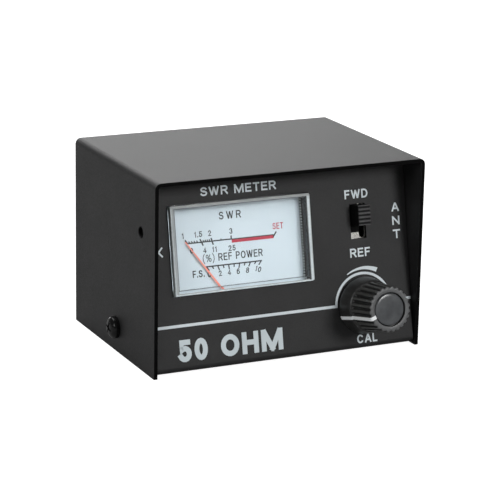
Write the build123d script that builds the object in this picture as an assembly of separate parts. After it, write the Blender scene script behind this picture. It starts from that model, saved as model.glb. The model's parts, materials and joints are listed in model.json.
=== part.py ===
from build123d import *
from math import atan, cos, degrees, radians, sin, tan
import os

# Bench-top swr meter: a bent steel chassis with a tilted front panel, under a U-shaped steel cover.
# Origin: middle of the footprint, on the surface it stands on. +X right, +Y back, +Z up, millimetres.
# Panel coordinates: u to the right, v up the tilted panel, r out of the panel's front face.

# ---- Case ----
CASE_W = 75.0
CASE_D = 53.7
CASE_H = 50.0
SHEET = 1.0
COVER_FOLD_R = 1.6
CHASSIS_BEND_R = 1.4
SIDE_GAP = 0.2                      # chassis edge to cover
TOP_GAP = 0.35
FLOOR_Z = 0.6                       # underside of the chassis floor
BACK_INSET = 0.4                    # rear panel inside the cover's back edge
LIP = 6.0                           # lips under the cover's top
PANEL_TILT = 11.3                   # degrees, leaning back
PANEL_FOOT = 0.17                   # panel face behind the cover's front edge at z = 0

# ---- Side fasteners, measured from the cover's front edge ----
SCREW_Y = 24.95
SCREW_Z = 6.45
BRACKET_Y = 8.95
BRACKET_Z = 35.65
M3_R = 1.5
M3_HEAD_R = 2.85
M3_HEAD_H = 2.2
M3_NUT_FLAT_R = 2.75
M3_NUT_H = 2.2
TAB = 12.0                          # width and height of the chassis tabs

# ---- Meter window and dial, in panel coordinates ----
WIN_U = -11.2
WIN_V = 31.25
WIN_W = 38.65
WIN_H = 22.4
WIN_FRONT = 1.4                     # the window stands this proud of the panel
WIN_WALL = 1.2
WIN_WALL_TOP = 0.95
WIN_FACE = 1.0
FLANGE_FRONT = -1.05
FLANGE_BACK = -1.5
METER_W = 42.0
METER_V0 = 6.0
METER_V1 = 43.9
METER_BACK = -14.4
METER_WALL = 2.2
TRAY_U = (-30.9, 6.7)                # inside of the tray, left and right
TRAY_TOP_V = 42.3
METER_FLOOR = 1.0
DIAL_FRONT = -2.5
DIAL_T = 0.4
DIAL_GAP = 0.1
DIAL_V0 = 20.2

# ---- Meter movement ----
PIVOT_U = -13.4
PIVOT_V = 16.0
NEEDLE_L = 21.1
NEEDLE_REST = 35.9                  # degrees left of straight up
NEEDLE_SWING = 78.0                 # degrees from rest to full scale
STOP_LEAD = 16.0                    # degrees from the needle's limits to its stops
STOP_R = 2.0
NEEDLE_W = 0.5
NEEDLE_T = 0.2
NEEDLE_BACK = -2.05
HUB_BACK = -4.75
HUB_FRONT = -4.25
YOKE_R = 7.3
YOKE_BORE_R = 5.8
CORE_R = 4.2
CORE_FRONT = -5.7
CORE_BACK = -10.5
COIL_W = 1.8
FORMER_HALF = 4.5
FORMER_T = 0.2
WINDING_T = 0.4
COIL_FRONT = -4.8
COIL_BACK = -11.4
STAFF_R = 0.25
JEWEL_HOLE_R = 0.30
JEWEL_R = 1.0
JEWEL_DEPTH = 0.65                  # depth of the blind pivot holes
STAFF_FRONT = -3.5
STAFF_BACK = -12.45
SPRING_PITCH = 0.45
SPRING_W = 0.12
SPRING_TURNS = 4
SPRING_FRONT = -11.55
SPRING_BACK = -11.85
BRIDGE_HALF = 8.6
BRIDGE_W = 2.4
FRONT_BRIDGE = (-3.8, -3.0)
REAR_BRIDGE = (-12.6, -12.0)

# ---- Slide switch ----
SLOT_U = 22.15
SLOT_V = 33.9
SLOT_W = 4.4
SLOT_H = 9.0
LEVER_W = 3.4
LEVER_H = 5.1
LEVER_END_GAP = 0.25
LEVER_FRONT = 4.0
LEVER_BACK = -1.15
LEVER_GROOVES = 5
LEVER_GROOVE = 0.58                 # side of the square cutter, set cornerwise
SHIELD_U = (-2.3, 0.6)              # dust shield behind the panel, from the lever's middle
SHIELD_REACH = 2.1                  # beyond the lever's ends
SHIELD_BACK = -1.4
SHIELD_FRONT = -1.1
FRAME_W = 8.6
FRAME_H = 14.0
FRAME_T = 0.4
FRAME_FRONT = -1.6
FRAME_BACK = -6.6
FRAME_SLOT_U = 23.85                # the frame's own slot sits to the right of the lever's middle
FRAME_SLOT_W = 1.6
FRAME_SLOT_H = 8.8
SLIDER_BACK = -3.8
SWITCH_BASE_FRONT = -4.9
SWITCH_PIN_R = 0.4

# ---- Calibration control and knob ----
KNOB_U = 22.3
KNOB_V = 12.1
KNOB_POINTER = 200.0                # degrees from +u, anticlockwise seen from the front
KNOB_H = 14.2
KNOB_FOOT = 0.6
SKIRT_R = 7.4
SKIRT_TOP_R = 6.65
SKIRT_H = 5.2
GRIP_FOOT_R = 6.4
GRIP_R = 5.8
FLUTES = 24
FLUTE_START = 9.5                   # degrees from the pointer to the flute beside it
FLUTE_R = 0.46
FLUTE_OUT = 0.12                    # flute's centre outside the grip's surface
CAP_R = 4.15
CAP_GAP = 0.25
CAP_DEPTH = 1.0
CAP_SUNK = 0.15
POINTER_W = 0.9
POINTER_PROUD = 0.12
POINTER_DEEP = 0.45
BUSH_R = 3.5
SHAFT_R = 3.0
SHAFT_CLEAR = 0.05
BUSH_FRONT = 3.4
POT_R = 8.0
POT_BACK = -7.6
POT_WALL = 0.4
POT_PLATE_BACK = -1.6
POT_PIN_R = 0.5
POT_PIN_V = -5.6
COLLAR = (-2.7, -1.9)
WIPER = (-4.4, -3.6)
WASHER_T = 0.4
NUT_H = 2.0
NUT_FLAT_R = 5.0
KNOB_WELL_R = 6.2                   # hollow below the knob, over the nut
KNOB_WELL_H = 4.0
KNOB_WEB = 2.4                      # knob's front over the shaft's end
BOARD_FRONT = -10.0
BOARD_T = 1.2
BOARD_U = (13.5, 33.0)
BOARD_V = (4.6, 43.0)
WIRE_R = 0.5

# ---- Coaxial sockets on the rear panel ----
SOCKET_X = 18.5
SOCKET_Z = 25.0
SOCKET_FLANGE = 25.4
SOCKET_FLANGE_T = 1.8
SOCKET_HOLES = 18.26
BARREL_R = 7.94
BARREL_L = 13.5
BARREL_BORE_R = 6.3
INSULATOR_BACK_R = 4.6
INSULATOR_FRONT = 5.5
INSULATOR_BACK = -3.0
CONTACT_R = 2.6
CONTACT_BORE_R = 2.0
CONTACT_BORE_L = 11.0
CONTACT_FRONT = 12.0
CONTACT_SLIT = 5.0
TAIL_R = 2.2
TAIL_L = 8.5

# ---- Coupler behind the sockets, depths from the rear panel's inner face ----
LINE_DEPTH = 5.9
LINE_R = 1.2
WEB_DEPTH = 12.5
TROUGH_T = 0.5
TROUGH_L = 54.0
TROUGH_HALF = 5.4
BOARD_DEPTH = WEB_DEPTH + TROUGH_T
BOARD_FACE = BOARD_DEPTH + BOARD_T
PICKUP_BOARD_L = 52.0
LEAD_R = 0.3
PICKUP_X = 12.0
PICKUP_Z = 3.4
PICKUP_R = 0.4

# ---- Derived places ----
TILT = radians(PANEL_TILT)
REACH_FRONT = KNOB_H * cos(TILT) - (KNOB_V - GRIP_R) * sin(TILT) - PANEL_FOOT
REACH_BACK = SOCKET_FLANGE_T + BARREL_L - BACK_INSET
FRONT_Y = (REACH_FRONT - REACH_BACK - CASE_D) / 2
REAR_OUT_Y = FRONT_Y + CASE_D - BACK_INSET
REAR_IN_Y = REAR_OUT_Y - SHEET
INNER_X = CASE_W / 2 - SHEET - SIDE_GAP
CHASSIS_TOP_Z = CASE_H - SHEET - TOP_GAP
PANEL = Plane(origin=(0, FRONT_Y + PANEL_FOOT, 0), x_dir=(1, 0, 0), z_dir=(0, -cos(TILT), sin(TILT)))
PIVOT = Pos(PIVOT_U, PIVOT_V, 0)
NEEDLE_TURN = Rot(0, 0, NEEDLE_REST)
KNOB_AXIS = Pos(KNOB_U, KNOB_V, 0)


def block(x0, x1, y0, y1, z0, z1):
    """Box between two corners."""
    return Pos((x0 + x1) / 2, (y0 + y1) / 2, (z0 + z1) / 2) * Box(x1 - x0, y1 - y0, z1 - z0)


def disc(x, y, radius, z0, z1):
    """Upright cylinder between two heights."""
    return Pos(x, y, (z0 + z1) / 2) * Cylinder(radius, z1 - z0)


def ring(x, y, outer, inner, z0, z1):
    """Upright tube between two heights."""
    return disc(x, y, outer, z0, z1) - disc(x, y, inner, z0, z1)


def turned(profile):
    """Solid of revolution about Z from (radius, height) points."""
    return revolve(Plane.XZ * make_face(Polyline(*profile, close=True)), Axis.Z)


def sheet_section(points, radius):
    """Bent sheet's section, its outer face through the points, folded towards the left of the path."""
    path = FilletPolyline(*points, radius=radius)
    return make_face(offset(path, SHEET, side=Side.LEFT).edges())


def on_sides(shape):
    """The shape and its mirror image on the other side wall."""
    return shape + mirror(shape, about=Plane.YZ)


def rear_plane(x):
    """Plane on the rear panel's outer face, pointing out of the back, at one socket."""
    return Plane(origin=(x, REAR_OUT_Y, SOCKET_Z), x_dir=(-1, 0, 0), z_dir=(0, 1, 0))


def both_sockets(shape):
    """One socket's piece, placed at both sockets."""
    return rear_plane(-SOCKET_X) * shape + rear_plane(SOCKET_X) * shape


def socket_corners():
    """The four screw places round a socket."""
    half = SOCKET_HOLES / 2
    return [(a * half, b * half) for a in (-1, 1) for b in (-1, 1)]


# ---- Case ----
def side_hole(y, z, radius):
    """Cutter through the left side wall and the chassis tab behind it."""
    depth = 2 * SHEET + SIDE_GAP + 1
    middle = CASE_W / 2 + 1 - depth / 2
    return Pos(-middle, FRONT_Y + y, z) * Rot(0, 90, 0) * Cylinder(radius, depth)


def cover():
    """Top and two sides folded from one sheet, open at the front, back and bottom."""
    half = CASE_W / 2
    section = sheet_section([(half, 0), (half, CASE_H), (-half, CASE_H), (-half, 0)], COVER_FOLD_R)
    shell = extrude(Plane.XZ.offset(-FRONT_Y - CASE_D) * section, CASE_D)
    return shell - on_sides(side_hole(SCREW_Y, SCREW_Z, M3_R + 0.1)) - side_hole(BRACKET_Y, BRACKET_Z, M3_R)


def chassis():
    """Tilted panel, floor and rear panel folded from one sheet, with lips and side tabs."""
    foot_y = FRONT_Y + PANEL_FOOT + FLOOR_Z * tan(TILT)
    head_y = FRONT_Y + PANEL_FOOT + CHASSIS_TOP_Z * tan(TILT)
    outline = [
        (head_y + LIP, CHASSIS_TOP_Z), (head_y, CHASSIS_TOP_Z), (foot_y, FLOOR_Z),
        (REAR_OUT_Y, FLOOR_Z), (REAR_OUT_Y, CHASSIS_TOP_Z), (REAR_OUT_Y - LIP, CHASSIS_TOP_Z),
    ]
    section = sheet_section(outline, CHASSIS_BEND_R)
    body = extrude(Plane.YZ.offset(-INNER_X) * section, 2 * INNER_X)
    front_tab = PANEL * block(INNER_X - SHEET, INNER_X, BRACKET_Z - 5, BRACKET_Z + 7, -TAB / 2, -SHEET / 2)
    tab_y = FRONT_Y + SCREW_Y
    floor_tab = block(INNER_X - SHEET, INNER_X, tab_y - TAB / 2, tab_y + TAB / 2, FLOOR_Z, FLOOR_Z + TAB)
    body += on_sides(front_tab)
    body += on_sides(floor_tab)
    body -= panel_cutouts()
    body -= rear_cutouts()
    return body - on_sides(side_hole(SCREW_Y, SCREW_Z, M3_R)) - side_hole(BRACKET_Y, BRACKET_Z, M3_R)


def panel_cutouts():
    """Meter window, switch slot and control hole through the front panel."""
    gap = 0.15
    half_w = WIN_W / 2 + gap
    half_h = WIN_H / 2 + gap
    window = block(WIN_U - half_w, WIN_U + half_w, WIN_V - half_h, WIN_V + half_h, -2, 1)
    slot = block(SLOT_U - SLOT_W / 2, SLOT_U + SLOT_W / 2, SLOT_V - SLOT_H / 2, SLOT_V + SLOT_H / 2, -2, 1)
    return PANEL * (window + slot + disc(KNOB_U, KNOB_V, BUSH_R + 0.1, -2, 1))


def rear_cutouts():
    """Socket and screw holes through the rear panel."""
    holes = disc(0, 0, INSULATOR_BACK_R + 0.2, -2, 1)
    for x, y in socket_corners():
        holes += disc(x, y, M3_R + 0.15, -2, 1)
    return both_sockets(holes)


def pan_screw(length):
    """Cross-head pan screw, its head's seat at z = 0 and its shank downwards."""
    crown = [(M3_HEAD_R, 0.8), (2.7, 1.35), (2.25, 1.8), (1.5, 2.1), (0.7, M3_HEAD_H), (0, M3_HEAD_H)]
    head = turned([(0, 0), (M3_HEAD_R, 0)] + crown)
    for turn in (0, 90):
        head -= Rot(0, 0, turn) * block(-1.5, 1.5, -0.32, 0.32, 1.0, 3)
    return head + disc(0, 0, M3_R, -length, 0)


def cover_screws():
    """One screw in each side of the cover."""
    seat = Pos(CASE_W / 2, FRONT_Y + SCREW_Y, SCREW_Z) * Rot(0, 90, 0) * Rot(0, 0, 20)
    return on_sides(seat * pan_screw(5.0))


# ---- Meter ----
def meter_lens():
    """Clear front: a flange behind the panel and a window box that stands through it."""
    half = METER_W / 2
    flange = block(WIN_U - half, WIN_U + half, METER_V0, METER_V1, FLANGE_BACK, FLANGE_FRONT)
    window = block(-WIN_W / 2, WIN_W / 2, -WIN_H / 2, WIN_H / 2, FLANGE_BACK, WIN_FRONT)
    window = Pos(WIN_U, WIN_V, 0) * window
    window = fillet(window.edges().filter_by(Axis.Z), 0.8)
    window = fillet(window.faces().sort_by(Axis.Z)[-1].edges(), 0.35)
    inside = block(
        WIN_U - WIN_W / 2 + WIN_WALL, WIN_U + WIN_W / 2 - WIN_WALL,
        WIN_V - WIN_H / 2 + WIN_WALL, WIN_V + WIN_H / 2 - WIN_WALL_TOP,
        FLANGE_BACK - 1, WIN_FRONT - WIN_FACE,
    )
    return PANEL * (flange + window - inside)


def meter_housing():
    """Tray behind the panel with ledges for the dial and posts for the movement."""
    half = METER_W / 2
    floor = METER_BACK + METER_FLOOR
    tray = block(WIN_U - half, WIN_U + half, METER_V0, METER_V1, METER_BACK, FLANGE_BACK)
    tray -= block(*TRAY_U, METER_V0 + METER_WALL, TRAY_TOP_V, floor, 0)
    for side, wall_u in zip((-1, 1), TRAY_U):
        ledge_u = wall_u - side * 0.75
        tray += block(ledge_u - 0.75, ledge_u + 0.75, DIAL_V0 + 1, TRAY_TOP_V, floor, DIAL_FRONT - DIAL_T)
        tray += disc(PIVOT_U + side * (BRIDGE_HALF - 1.2), PIVOT_V, 1.2, floor, REAR_BRIDGE[0])
    return PANEL * tray


def meter_dial():
    """Plate that carries the printed scales."""
    left = TRAY_U[0] + DIAL_GAP
    right = TRAY_U[1] - DIAL_GAP
    return PANEL * block(left, right, DIAL_V0, TRAY_TOP_V - DIAL_GAP, DIAL_FRONT - DIAL_T, DIAL_FRONT)


def meter_terminals():
    """Two solder lugs on the back of the meter."""
    lug = block(-1.5, 1.5, -3, 3, METER_BACK - 0.5, METER_BACK)
    lug += block(-1, 1, -3, -2.5, METER_BACK - 5, METER_BACK)
    lugs = Pos(WIN_U - 8, WIN_V, 0) * lug + Pos(WIN_U + 8, WIN_V, 0) * lug
    return PANEL * lugs


def meter_yoke():
    """Soft iron ring with two ears that carry the bridges."""
    body = ring(0, 0, YOKE_R, YOKE_BORE_R, CORE_BACK, CORE_FRONT)
    for side in (-1, 1):
        ear = block(YOKE_R - 0.7, BRIDGE_HALF, -BRIDGE_W / 2, BRIDGE_W / 2, CORE_BACK, CORE_FRONT)
        body += ear if side > 0 else mirror(ear, about=Plane.YZ)
    return PANEL * PIVOT * body


def meter_core():
    """Magnet in the middle of the coil."""
    return PANEL * PIVOT * disc(0, 0, CORE_R, CORE_BACK, CORE_FRONT)


def core_supports():
    """Two spacers that hold the magnet in the ring, clear of the coil's sweep."""
    middle = (CORE_BACK + CORE_FRONT) / 2
    bar = block(-0.7, 0.7, -YOKE_BORE_R, YOKE_BORE_R, middle - 1, middle + 1)
    bar = bar & disc(0, 0, YOKE_BORE_R, CORE_BACK, CORE_FRONT)
    return PANEL * PIVOT * (bar - disc(0, 0, CORE_R, CORE_BACK, CORE_FRONT))


def bridge(bar, leg_end, legs_up):
    """Bar across the movement with a leg at each end and a hole for its jewel screw."""
    low, high = bar
    body = block(-BRIDGE_HALF, BRIDGE_HALF, -BRIDGE_W / 2, BRIDGE_W / 2, low, high)
    leg_low, leg_high = (high, leg_end) if legs_up else (leg_end, low)
    for side in (-1, 1):
        middle = side * (BRIDGE_HALF - 0.4)
        body += block(middle - 0.4, middle + 0.4, -BRIDGE_W / 2, BRIDGE_W / 2, leg_low, leg_high)
    return body - disc(0, 0, JEWEL_R, low - 1, high + 1)


def front_bridge():
    """Bridge in front of the coil, with the two stops of the needle."""
    body = bridge(FRONT_BRIDGE, CORE_FRONT, legs_up=False)
    stop = block(STOP_R, STOP_R + 0.5, -0.25, 0.25, HUB_BACK, FRONT_BRIDGE[1])
    rest = 90 + NEEDLE_REST
    for angle in (rest + STOP_LEAD, rest - NEEDLE_SWING - STOP_LEAD):
        body += Rot(0, 0, angle) * stop
    return PANEL * PIVOT * body


def rear_bridge():
    """Bridge behind the coil."""
    return PANEL * PIVOT * bridge(REAR_BRIDGE, CORE_BACK, legs_up=True)


def jewel_screws():
    """Two screws with blind pivot holes that face each other."""
    front_end = FRONT_BRIDGE[0] - 0.15
    rear_end = REAR_BRIDGE[1] + 0.1
    front = disc(0, 0, JEWEL_R, front_end, FRONT_BRIDGE[1] + 0.6)
    front -= disc(0, 0, JEWEL_HOLE_R, front_end - 1, front_end + JEWEL_DEPTH)
    front -= block(-2, 2, -0.15, 0.15, FRONT_BRIDGE[1] + 0.3, 0)
    rear = disc(0, 0, JEWEL_R, REAR_BRIDGE[0] - 0.4, rear_end)
    rear -= disc(0, 0, JEWEL_HOLE_R, rear_end - JEWEL_DEPTH, rear_end + 1)
    return PANEL * PIVOT * (front + rear)


def coil_loop(half, wall, front, back):
    """Rectangular loop round the magnet, standing on the needle's axis."""
    outer = block(-half - wall, half + wall, -COIL_W / 2, COIL_W / 2, back, front)
    return outer - block(-half, half, -COIL_W, COIL_W, back + wall, front - wall)


def coil_former():
    """Aluminium former of the moving coil."""
    loop = coil_loop(FORMER_HALF, FORMER_T, COIL_FRONT - WINDING_T, COIL_BACK + WINDING_T)
    return PANEL * PIVOT * NEEDLE_TURN * loop


def coil_winding():
    """Copper winding on the former."""
    loop = coil_loop(FORMER_HALF + FORMER_T, WINDING_T, COIL_FRONT, COIL_BACK)
    return PANEL * PIVOT * NEEDLE_TURN * loop


def coil_pivots():
    """Front and rear pivots, with the hairspring's collet on the rear one."""
    front = disc(0, 0, STAFF_R, COIL_FRONT, STAFF_FRONT)
    rear = disc(0, 0, STAFF_R, STAFF_BACK, COIL_BACK) + disc(0, 0, 0.6, COIL_BACK - 0.4, COIL_BACK)
    return PANEL * PIVOT * (front + rear)


def hairspring():
    """Flat spiral from two-centre half rings, its outer end on a stud of the rear bridge."""
    spiral = None
    for turn in range(2 * SPRING_TURNS):
        radius = 0.85 + turn * SPRING_PITCH / 2
        centre = 0 if turn % 2 == 0 else SPRING_PITCH / 2
        side = 1 if turn % 2 == 0 else -1
        half = ring(centre, 0, radius + SPRING_W, radius, SPRING_BACK, SPRING_FRONT)
        half = half & (Pos(centre, side * 5, SPRING_BACK) * Box(20, 10, 2))
        spiral = half if spiral is None else spiral + half
    stud = block(-2.6, -2.25, -0.3, 0.3, REAR_BRIDGE[1], SPRING_FRONT)
    return PANEL * PIVOT * (spiral + stud)


def needle():
    """Pointer: hub, cranked arm over the dial and a short tail."""
    hub = ring(0, 0, 1.3, STAFF_R, HUB_BACK, HUB_FRONT)
    crank = [
        (0.9, HUB_BACK + 0.1), (2.6, HUB_BACK + 0.1), (4.0, NEEDLE_BACK), (NEEDLE_L, NEEDLE_BACK),
        (NEEDLE_L, NEEDLE_BACK + NEEDLE_T), (3.9, NEEDLE_BACK + NEEDLE_T),
        (2.5, HUB_FRONT - 0.1), (0.9, HUB_FRONT - 0.1),
    ]
    arm = extrude(Plane.YZ.offset(-NEEDLE_W / 2) * make_face(Polyline(*crank, close=True)), NEEDLE_W)
    root, tip = 0.25, 0.14
    taper = [(-root, 0), (-root, 5), (-tip, NEEDLE_L), (tip, NEEDLE_L), (root, 5), (root, 0)]
    arm = arm & (Pos(0, 0, -6) * extrude(make_face(Polyline(*taper, close=True)), 6))
    tail = block(-0.25, 0.25, -3.6, -1.0, HUB_BACK + 0.1, HUB_FRONT - 0.1)
    return PANEL * PIVOT * NEEDLE_TURN * (hub + arm + tail)


def counterweight():
    """Balance weight wound on the needle's tail."""
    weight = Pos(0, -3.0, (HUB_BACK + HUB_FRONT) / 2) * Rot(90, 0, 0) * Cylinder(0.65, 1.0)
    weight -= block(-0.25, 0.25, -5, 0, HUB_BACK + 0.1, HUB_FRONT - 0.1)
    return PANEL * PIVOT * NEEDLE_TURN * weight


# ---- Slide switch ----
def switch_frame():
    """Metal can behind the panel's slot, with a narrow round-ended slot of its own."""
    half_w = FRAME_W / 2
    half_h = FRAME_H / 2
    in_w = half_w - FRAME_T
    in_h = half_h - FRAME_T
    can = block(-half_w, half_w, -half_h, half_h, FRAME_BACK, FRAME_FRONT)
    can -= block(-in_w, in_w, -in_h, in_h, FRAME_BACK - 1, FRAME_FRONT - FRAME_T)
    slot = Rot(0, 0, 90) * SlotOverall(FRAME_SLOT_H, FRAME_SLOT_W)
    can -= Pos(FRAME_SLOT_U - SLOT_U, 0, FRAME_FRONT - 1) * extrude(slot, 2)
    return PANEL * Pos(SLOT_U, SLOT_V, 0) * can


def lever_middle():
    """Height of the lever's middle on the panel, at its upper stop."""
    return SLOT_V + SLOT_H / 2 - LEVER_END_GAP - LEVER_H / 2


def switch_lever():
    """Ribbed grip with a dust shield, its stem through the frame and the sliding block inside."""
    half_w = LEVER_W / 2
    half_h = LEVER_H / 2
    grip = block(-half_w, half_w, -half_h, half_h, LEVER_BACK, LEVER_FRONT)
    pitch = LEVER_H / LEVER_GROOVES
    for row in range(LEVER_GROOVES):
        v = -half_h + (row + 0.5) * pitch
        grip -= Pos(0, v, LEVER_FRONT) * Rot(45, 0, 0) * Box(LEVER_W + 1, LEVER_GROOVE, LEVER_GROOVE)
    offset_u = FRAME_SLOT_U - SLOT_U
    slider_front = FRAME_FRONT - FRAME_T - 0.2
    stem = block(offset_u - 0.5, half_w, -1.2, 1.2, slider_front, LEVER_BACK)
    slider = block(-3.6, 3.6, -3.8, 3.8, SLIDER_BACK, slider_front)
    reach = half_h + SHIELD_REACH
    shield = block(*SHIELD_U, -reach, reach, SHIELD_BACK, SHIELD_FRONT)
    return PANEL * Pos(SLOT_U, lever_middle(), 0) * (grip + shield + stem + slider)


def switch_contacts():
    """Two bridging clips under the sliding block."""
    clip = block(-0.8, 0.8, -3.2, 3.2, SLIDER_BACK - 0.5, SLIDER_BACK)
    return PANEL * Pos(SLOT_U, lever_middle(), 0) * (Pos(-2, 0, 0) * clip + Pos(2, 0, 0) * clip)


def switch_base():
    """Insulating base that closes the can."""
    half_w = FRAME_W / 2 - FRAME_T
    half_h = FRAME_H / 2 - FRAME_T
    base = block(-half_w, half_w, -half_h, half_h, FRAME_BACK, SWITCH_BASE_FRONT)
    base -= pin_cluster(switch_pin_places(), SWITCH_PIN_R, FRAME_BACK - 1, 0)
    return PANEL * Pos(SLOT_U, SLOT_V, 0) * base


def switch_pin_places():
    """Two columns of three pins."""
    return [(a * 2.0, b * 3.6) for a in (-1, 1) for b in (-1, 0, 1)]


def pin_cluster(places, radius, z0, z1):
    """Round pins at the given places."""
    pins = None
    for x, y in places:
        pin = disc(x, y, radius, z0, z1)
        pins = pin if pins is None else pins + pin
    return pins


def switch_pins():
    """Six contact pins from the base through the control board."""
    pins = pin_cluster(switch_pin_places(), SWITCH_PIN_R, BOARD_FRONT - BOARD_T - 1, SWITCH_BASE_FRONT + 0.4)
    return PANEL * Pos(SLOT_U, SLOT_V, 0) * pins


# ---- Calibration control ----
def pot_bush():
    """Front plate and threaded bush that the shaft turns in."""
    body = disc(0, 0, POT_R, POT_PLATE_BACK, -SHEET) + disc(0, 0, BUSH_R, POT_PLATE_BACK, BUSH_FRONT)
    return PANEL * KNOB_AXIS * (body - disc(0, 0, SHAFT_R + SHAFT_CLEAR, -2, BUSH_FRONT + 1))


def pot_can():
    """Metal cup behind the front plate, open for the three pins."""
    cup = disc(0, 0, POT_R, POT_BACK, POT_PLATE_BACK) - disc(0, 0, POT_R - POT_WALL, POT_BACK + POT_WALL, 0)
    cup -= block(-5.5, 5.5, POT_PIN_V - 0.7, POT_PIN_V + 0.7, POT_BACK - 1, POT_BACK + 1)
    return PANEL * KNOB_AXIS * cup


def pot_track():
    """Wafer with the resistance track."""
    wafer = ring(0, 0, POT_R - POT_WALL - 0.1, SHAFT_R + 0.3, POT_BACK + POT_WALL, POT_BACK + 1.6)
    return PANEL * KNOB_AXIS * (wafer - pin_cluster(pot_pin_places(), POT_PIN_R, POT_BACK, 0))


def pot_pin_places():
    """Three pins in a row below the shaft."""
    return [(x, POT_PIN_V) for x in (-4, 0, 4)]


def pot_pins():
    """Pins from the wafer through the control board."""
    pins = pin_cluster(pot_pin_places(), POT_PIN_R, BOARD_FRONT - BOARD_T - 1, POT_BACK + 1.7)
    return PANEL * KNOB_AXIS * pins


def pot_washer():
    """Washer between the nut and the panel."""
    return PANEL * KNOB_AXIS * ring(0, 0, 5.6, BUSH_R, 0, WASHER_T)


def pot_nut():
    """Hexagon nut on the bush."""
    hexagon = extrude(RegularPolygon(NUT_FLAT_R, 6, major_radius=False), NUT_H)
    return PANEL * KNOB_AXIS * (Pos(0, 0, WASHER_T) * hexagon - disc(0, 0, BUSH_R, 0, 3))


def pot_shaft():
    """Shaft with its retaining collar behind the front plate."""
    shaft = disc(0, 0, SHAFT_R, POT_BACK + 2, KNOB_H - KNOB_WEB) + disc(0, 0, 4.0, *COLLAR)
    return PANEL * KNOB_AXIS * shaft


def pot_wiper():
    """Wiper disc on the shaft with its contact finger over the track."""
    wiper = ring(0, 0, 6.4, SHAFT_R, *WIPER) + block(4.6, 6.2, -0.6, 0.6, POT_BACK + 1.8, WIPER[0])
    return PANEL * KNOB_AXIS * Rot(0, 0, KNOB_POINTER) * wiper


def knob_outline(grow):
    """(radius, height) points of the knob's outside, grown outwards by a little."""
    return [
        (0, KNOB_FOOT), (SKIRT_R + grow, KNOB_FOOT), (SKIRT_R + grow, KNOB_FOOT + 0.5),
        (SKIRT_TOP_R + grow, SKIRT_H + grow), (GRIP_FOOT_R + grow, SKIRT_H + grow),
        (GRIP_R + grow, KNOB_H - 0.25 + grow), (GRIP_R - 0.3 + grow, KNOB_H + grow), (0, KNOB_H + grow),
    ]


def pointer_slab():
    """Radial slab, as wide as the pointer line, from inside the cap's recess outwards."""
    return block(CAP_R - 1, SKIRT_R + 2, -POINTER_W / 2, POINTER_W / 2, KNOB_FOOT, KNOB_H + 2)


def knob_body():
    """Skirted knob with a tapered fluted grip, hollow below for the nut."""
    body = turned(knob_outline(0))
    lean = degrees(atan((GRIP_FOOT_R - GRIP_R) / (KNOB_H - SKIRT_H)))
    groove = Rot(0, -lean, 0) * disc(0, 0, FLUTE_R, 0.1, 12.1)
    groove = Pos(GRIP_FOOT_R + FLUTE_OUT, 0, SKIRT_H) * groove
    pitch = (360 - 2 * FLUTE_START) / (FLUTES - 1)
    for flute in range(FLUTES):
        body -= Rot(0, 0, FLUTE_START + flute * pitch) * groove
    body -= disc(0, 0, KNOB_WELL_R, 0, KNOB_WELL_H)
    body -= disc(0, 0, SHAFT_R, 0, KNOB_H - KNOB_WEB)
    body -= disc(0, 0, CAP_R + CAP_GAP, KNOB_H - CAP_DEPTH, KNOB_H + 1)
    body -= pointer_slab() - turned(knob_outline(-POINTER_DEEP))
    return PANEL * KNOB_AXIS * Rot(0, 0, KNOB_POINTER) * body


def knob_pointer():
    """White line let into the knob, a little proud of it."""
    line = pointer_slab() & turned(knob_outline(POINTER_PROUD))
    line -= turned(knob_outline(-POINTER_DEEP))
    line -= disc(0, 0, CAP_R + CAP_GAP, 0, KNOB_H + 2)
    return PANEL * KNOB_AXIS * Rot(0, 0, KNOB_POINTER) * line


def knob_cap():
    """Grey disc let into the knob's front, its edge rounded."""
    cap = disc(0, 0, CAP_R, KNOB_H - CAP_DEPTH, KNOB_H - CAP_SUNK)
    cap = fillet(cap.edges().sort_by(Axis.Z)[-1], 0.3)
    return PANEL * KNOB_AXIS * cap


def control_board():
    """Circuit board behind the switch and the control."""
    board = block(*BOARD_U, *BOARD_V, BOARD_FRONT - BOARD_T, BOARD_FRONT)
    board -= Pos(SLOT_U, SLOT_V, 0) * pin_cluster(switch_pin_places(), SWITCH_PIN_R, -15, 0)
    board -= KNOB_AXIS * pin_cluster(pot_pin_places(), POT_PIN_R, -15, 0)
    return PANEL * board


# ---- Coaxial sockets ----
def socket_shells():
    """Square flange and barrel for the plug's coupling ring, with four notches in the mouth."""
    flange = extrude(RectangleRounded(SOCKET_FLANGE, SOCKET_FLANGE, 2.0), SOCKET_FLANGE_T)
    end = SOCKET_FLANGE_T + BARREL_L
    body = flange + disc(0, 0, BARREL_R, 0, end)
    body -= disc(0, 0, BARREL_BORE_R, -1, end + 1)
    for turn in (0, 90):
        body -= Rot(0, 0, turn) * block(-10, 10, -0.7, 0.7, end - 0.9, end + 1)
    for x, y in socket_corners():
        body -= disc(x, y, M3_R + 0.15, -1, 3)
    return both_sockets(body)


def socket_insulators():
    """Insulator in the barrel with a smaller boss through the rear panel."""
    body = disc(0, 0, BARREL_BORE_R, 0, INSULATOR_FRONT) + disc(0, 0, INSULATOR_BACK_R, INSULATOR_BACK, 0)
    return both_sockets(body - disc(0, 0, CONTACT_R, -4, 7))


def socket_contacts():
    """Centre contact: slit socket in front and a solder tail inside the case."""
    body = disc(0, 0, CONTACT_R, INSULATOR_BACK, CONTACT_FRONT) + disc(0, 0, TAIL_R, -TAIL_L, INSULATOR_BACK)
    body -= disc(0, 0, CONTACT_BORE_R, CONTACT_FRONT - CONTACT_BORE_L, CONTACT_FRONT + 1)
    for turn in (45, 135):
        body -= Rot(0, 0, turn) * block(-5, 5, -0.2, 0.2, CONTACT_FRONT - CONTACT_SLIT, CONTACT_FRONT + 1)
    return both_sockets(body)


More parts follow.
